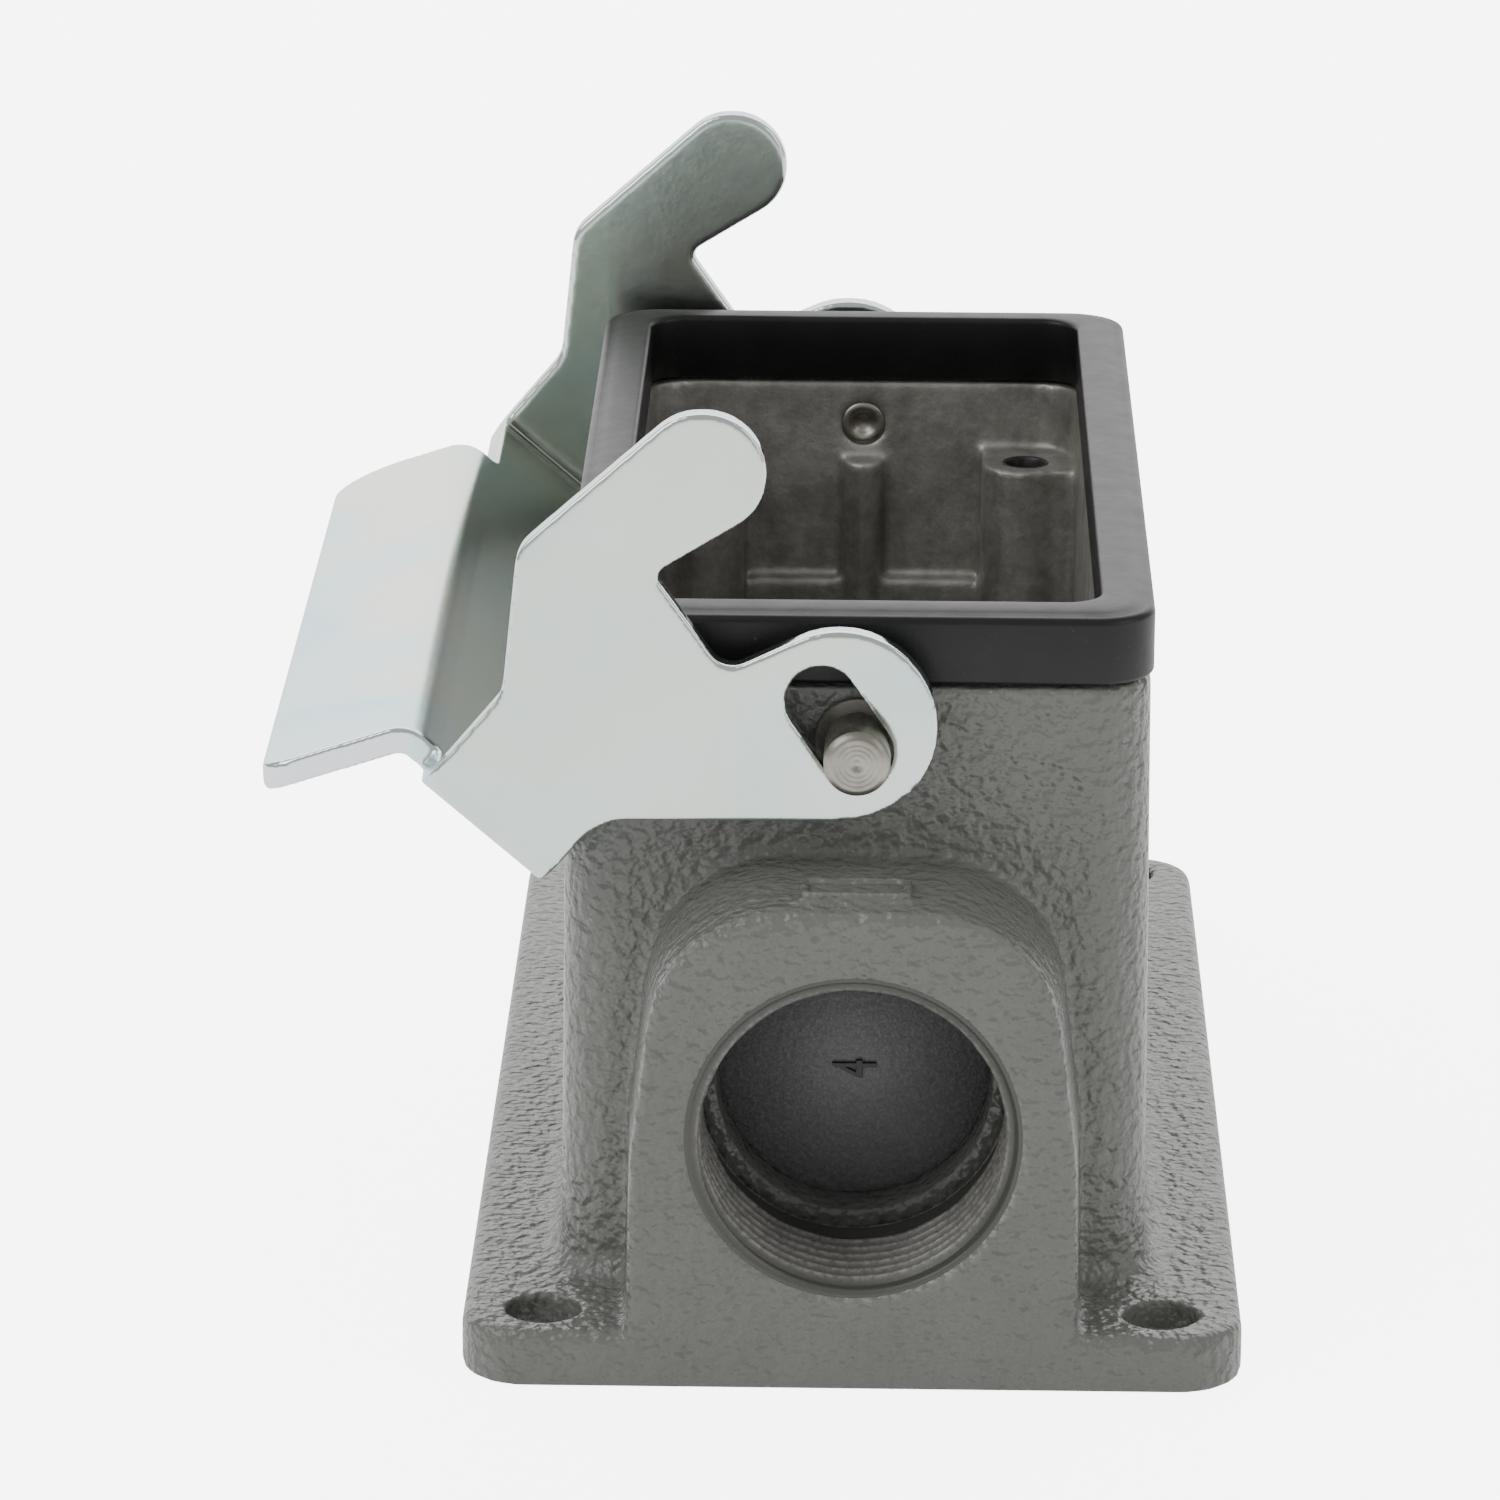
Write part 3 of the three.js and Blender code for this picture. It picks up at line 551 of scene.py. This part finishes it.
def pad_piece(coat):
    """The blank raised pad on top of the boss, with a low border, on a rounded plan."""
    low_y, high_y, top = ENTRY_FACE + PAD_START, ENTRY_FACE + PAD_END, BOSS_TOP + PAD_RISE
    section = [(0.0, top - 1.4), (0.0, top - 0.15), (0.12, top)]
    section += [(0.42, top), (0.55, top - 0.12), (0.6, top - 0.4)]
    middle = (low_y + high_y) / 2
    points, faces, count = [], [], 4 * (PAD_CORNER_STEPS + 1)
    for inset, z in section:
        radius = PAD_CORNER - 0.6 * inset
        reach_x, reach_y = PAD_HALF_X - inset - radius, (high_y - low_y) / 2 - inset - radius
        plan = rounded_plan(reach_x, reach_y, radius, PAD_CORNER_STEPS)
        points += [(x, y + middle, z) for x, y in plan]
    for level in range(len(section) - 1):
        for i in range(count):
            after = (i + 1) % count
            low, high = level * count, (level + 1) * count
            faces.append([low + i, low + after, high + after, high + i])
    faces.append([(len(section) - 1) * count + i for i in range(count)])
    faces.append([count - 1 - i for i in range(count)])
    piece = new_object("blank_boss_pad", points, faces)
    piece.data.materials.append(coat)
    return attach(piece, HOUSING_BODY)


def post_holes(material):
    for end, sign_y in (("front", -1), ("rear", 1)):
        for side, sign_x in (("left", -1), ("right", 1)):
            post_hole_piece(f"post_hole_{end}_{side}", sign_x, sign_y, material)


def seal_path(inset):
    """Plan outline of the seal at an inset from its outside: the same count of points for any inset."""
    radius = max(SEAL_CORNER - inset, SEAL_INNER_CORNER)
    half_x, half_y = SEAL_HALF_X - inset - radius, SEAL_HALF_Y - inset - radius
    return rounded_plan(half_x, half_y, radius, CORNER_STEPS)


def seal_piece(material):
    """The rubber profile swept round the rim: rounded outer edge, crisp inner lip, feet on both sides."""
    top = SEAL_TOP
    section = [(0.45, SEAL_FOOT), *arc((0.35, SEAL_FOOT + 0.35), 0.35, 270, 180, 4)]
    section += [*arc((0.55, top - 0.85), 0.55, 180, 75, 8), (1.2, top - 0.12), (1.8, top)]
    section += arc((3.45, top - 0.45), 0.45, 90, 0, 6)
    section += [(3.9, SEAL_FOOT + 0.2), (3.7, SEAL_FOOT), (3.1, SEAL_FOOT)]
    section += [(3.1, SEAL_CHANNEL_TOP), (0.95, SEAL_CHANNEL_TOP), (0.95, SEAL_FOOT)]
    points = []
    for inset, z in section:
        points += [(x, y + BODY_SHIFT, z) for x, y in seal_path(inset)]
    count, levels, faces = len(seal_path(0)), len(section), []
    for level in range(levels):
        upper = (level + 1) % levels
        for i in range(count):
            after = (i + 1) % count
            low, high = level * count, upper * count
            faces.append([low + i, low + after, high + after, high + i])
    piece = new_object("rubber_rim_seal", points, faces)
    piece.data.materials.append(material)
    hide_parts("rim_seal")
    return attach(piece, HOUSING_BODY)


def post_hole_piece(name, sign_x, sign_y, material):
    """The tapped hole in one insert post: its wall and the small countersink at its mouth, near-black as
    painted shade inside the hole.
    """
    section = [(1.6, POST_TOP - 5), (1.6, POST_TOP - 0.2), (1.72, POST_TOP), (1.86, POST_TOP + 0.03)]
    section += [(1.95, POST_TOP - 0.05), (1.95, POST_TOP - 5)]
    steps, points, faces = 64, [], []
    for radius, z in section:
        for i in range(steps):
            angle = 2 * math.pi * i / steps
            x = sign_x * POST_X + radius * math.cos(angle)
            y = BODY_SHIFT + sign_y * POST_Y + radius * math.sin(angle)
            points.append((x, y, z))
    for level in range(len(section)):
        low, high = level * steps, (level + 1) % len(section) * steps
        for i in range(steps):
            after = (i + 1) % steps
            faces.append([low + after, low + i, high + i, high + after])
    piece = new_object(name, points, faces)
    # Near-black material: painted shade inside the hole.
    piece.data.materials.append(material)
    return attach(piece, HOUSING_BODY)


def pin_profile():
    """Half section of a pin, from its dimpled tail inside the wall to its turned end face."""
    profile = [(0.0, 43.75), (0.55, 43.7), (0.85, 43.45), (0.98, 43.3)]
    profile += [(1.3, 43.2), (1.65, 43.2), (1.85, 43.4)]
    profile += [(1.6, 47.06), (2.9, 47.05), (3.05, 47.12), (3.1, 47.25), (3.1, 47.75), (3.02, 47.9)]
    profile += [(2.42, 48.82), (2.4, 49.0)]
    for i in range(9):
        y = 49.3 + 0.5 * i
        profile += [(2.4, y), (2.385, y + 0.12), (2.385, y + 0.2), (2.4, y + 0.32)]
    profile += [(2.38, 53.66), (2.28, 53.85), (1.98, 54.06), (1.88, 54.1)]
    for radius in (1.6, 1.25, 0.9):
        profile += [(radius, 54.1), (radius - 0.06, 54.07), (radius - 0.12, 54.1)]
    profile += [(0.45, 54.09), (0.25, 53.95), (0.0, 53.85)]
    return profile


def pin_piece(name, node, facing, material):
    """One pivot pin, facing out of the front (-1) or rear (1) end wall."""
    piece = lathe(name, pin_profile(), PIVOT_HEIGHT, facing)
    shift = Vector((0, BODY_SHIFT * MM, 0))
    piece.data.transform(Matrix.Translation(shift))
    piece.data.materials.append(material)
    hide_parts(node)
    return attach(piece, HOUSING_BODY)


def lever_piece(material):
    """The bent lever, with marks for its edges, which carry a painted highlight, and for the handle's tint.
    """
    piece = soft_copy("locking_lever", "bent_locking_lever", 0.2, 5, lambda co: np.full(len(co), 0.5), 0.25)
    mesh = piece.data
    co = coordinates(mesh) / MM
    normals = vertex_normals(mesh)
    on_arm = np.abs(co[:, 1] - BODY_SHIFT) > ARM_INNER - 0.1
    on_handle = co[:, 0] < -32.5
    slope = math.radians(HANDLE_SLOPE)
    handle_normal = np.array([-math.sin(slope), 0, math.cos(slope)])
    arm_edge = 1 - np.abs(normals[:, 1])
    handle_edge = 1 - np.abs(normals @ handle_normal)
    edge = np.where(on_arm & (co[:, 0] > -26), arm_edge, np.where(on_handle, handle_edge, 0))
    # The edge mark carries the painted highlight along the lever's edges.
    set_attribute(mesh, "edge", np.clip(edge * 1.3, 0, 1))
    set_attribute(mesh, "handle", np.clip((-co[:, 0] - 29) / 5, 0, 1))
    mesh.materials.append(material)
    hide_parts("locking_lever")
    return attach(piece, LEVER_BODY)


def shoulder_piece(material):
    """The shoulder ring behind the thread, with the short bore through it to the disc."""
    profile = [(SHOULDER_INNER, SHOULDER_BACK), (SHOULDER_MOUTH, SHOULDER_FACE + 0.12)]
    profile += [(SHOULDER_MOUTH + 0.12, SHOULDER_FACE), (SHOULDER_OUTER, SHOULDER_FACE)]
    profile += [(SHOULDER_OUTER, SHOULDER_BACK), (SHOULDER_INNER, SHOULDER_BACK)]
    piece = lathe("entry_shoulder", profile, ENTRY_HEIGHT, 1)
    piece.data.materials.append(material)
    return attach(piece, HOUSING_BODY)


def disc_piece(material):
    """The flat blanking disc behind the shoulder ring."""
    profile = [(0.0, DISC_FACE), (DISC_RADIUS, DISC_FACE), (DISC_RADIUS, DISC_BACK), (0.0, DISC_BACK)]
    piece = lathe("blanking_disc", profile, ENTRY_HEIGHT, 1)
    piece.data.materials.append(material)
    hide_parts("entry_blanking_disc")
    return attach(piece, HOUSING_BODY)


def numeral_piece(material):
    """A plain numeral standing on the disc, turned on its side."""
    curve = bpy.data.curves.new("disc_numeral", "FONT")
    curve.body = "4"
    curve.size = 0.0046
    curve.extrude = 0.00022
    curve.bevel_depth = 0.00004
    curve.align_x = "CENTER"
    curve.align_y = "CENTER"
    text = bpy.data.objects.new("numeral_source", curve)
    bpy.context.scene.collection.objects.link(text)
    upright = Matrix.Rotation(math.radians(90), 4, "X")
    sideways = Matrix.Rotation(math.radians(90), 4, "Z")
    place = Matrix.Translation(Vector((NUMERAL_SHIFT, DISC_FACE - NUMERAL_PROUD, NUMERAL_HEIGHT)) * MM)
    graph = bpy.context.evaluated_depsgraph_get()
    mesh = bpy.data.meshes.new_from_object(text.evaluated_get(graph))
    narrow = Matrix.Diagonal((NUMERAL_WIDTH_SHARE, 1.0, 1.0, 1.0))
    mesh.transform(place @ upright @ sideways @ narrow)
    bpy.data.objects.remove(text)
    piece = bpy.data.objects.new("disc_numeral", mesh)
    bpy.context.scene.collection.objects.link(piece)
    mesh.materials.clear()
    mesh.materials.append(material)
    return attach(piece, HOUSING_BODY)


# ---- camera, floor and light ----
def make_camera():
    elevation, azimuth, roll = (math.radians(v) for v in CAMERA_TURN)
    ahead = Vector((
        -math.sin(azimuth) * math.cos(elevation),
        math.cos(azimuth) * math.cos(elevation),
        -math.sin(elevation),
    ))
    right = Vector((math.cos(azimuth), math.sin(azimuth), 0))
    up = right.cross(ahead)
    across = math.cos(roll) * right + math.sin(roll) * up
    above = -math.sin(roll) * right + math.cos(roll) * up
    camera = bpy.data.objects.new("camera", bpy.data.cameras.new("camera"))
    camera.data.sensor_width = 36
    camera.data.lens = LENS
    camera.data.clip_start = 0.01
    camera.data.clip_end = 20
    turn = Matrix((across, above, -ahead)).transposed().to_4x4()
    camera.matrix_world = Matrix.Translation(Vector(CAMERA_PLACE) * MM) @ turn
    bpy.context.scene.collection.objects.link(camera)
    bpy.context.scene.camera = camera


def make_floor():
    floor = new_object("floor", [(-3000, -3000, 0), (3000, -3000, 0), (3000, 3000, 0), (-3000, 3000, 0)],
                       [[0, 1, 2, 3]], smooth=False)
    floor.location.z = CAD_LOW.z - 0.02 * MM
    floor.data.materials.append(floor_material())


def area_light(name, place, aim, width, height, power, color=(1, 1, 1)):
    data = bpy.data.lights.new(name, "AREA")
    data.shape = "RECTANGLE"
    data.size, data.size_y = width, height
    data.energy = power
    data.color = color
    light = bpy.data.objects.new(name, data)
    light.location = place
    light.rotation_mode = "QUATERNION"
    light.rotation_quaternion = (Vector(aim) - Vector(place)).to_track_quat("-Z", "Y")
    bpy.context.scene.collection.objects.link(light)


def make_light():
    world = bpy.data.worlds.new("studio")
    bpy.context.scene.world = world
    world.use_nodes = True
    world.node_tree.nodes["Background"].inputs["Color"].default_value = (1, 1, 1, 1)
    world.node_tree.nodes["Background"].inputs["Strength"].default_value = 0.52
    middle = (0, 0, 0.035)
    area_light("key_left", (-0.5, -0.35, 0.55), middle, 0.5, 0.5, 2.2)
    area_light("fill_right", (0.6, -0.3, 0.35), middle, 0.4, 0.5, 0.8)
    area_light("top_back", (0.0, 0.55, 0.6), middle, 0.9, 0.4, 2.4)
    area_light("back_wall", (-0.1, 1.3, 0.42), middle, 2.6, 0.8, 10)


make_camera()
make_floor()
make_light()
coat = coat_material()
housing_piece(coat, cast_material())
thread_piece(thread_material())
shoulder_piece(coat)
pad_piece(coat)
hole_shade_and_numeral = hole_shade_and_numeral_material()
# The post holes get the near-black material as painted shade; the numeral uses it for its colour.
post_holes(hole_shade_and_numeral)
seal_piece(seal_material())
turned_steel = pin_material()
pin_piece("front_pin", "front_pivot_pin", -1, turned_steel)
pin_piece("rear_pin", "rear_pivot_pin", 1, turned_steel)
lever_piece(lever_material())
disc_piece(disc_material())
numeral_piece(hole_shade_and_numeral)
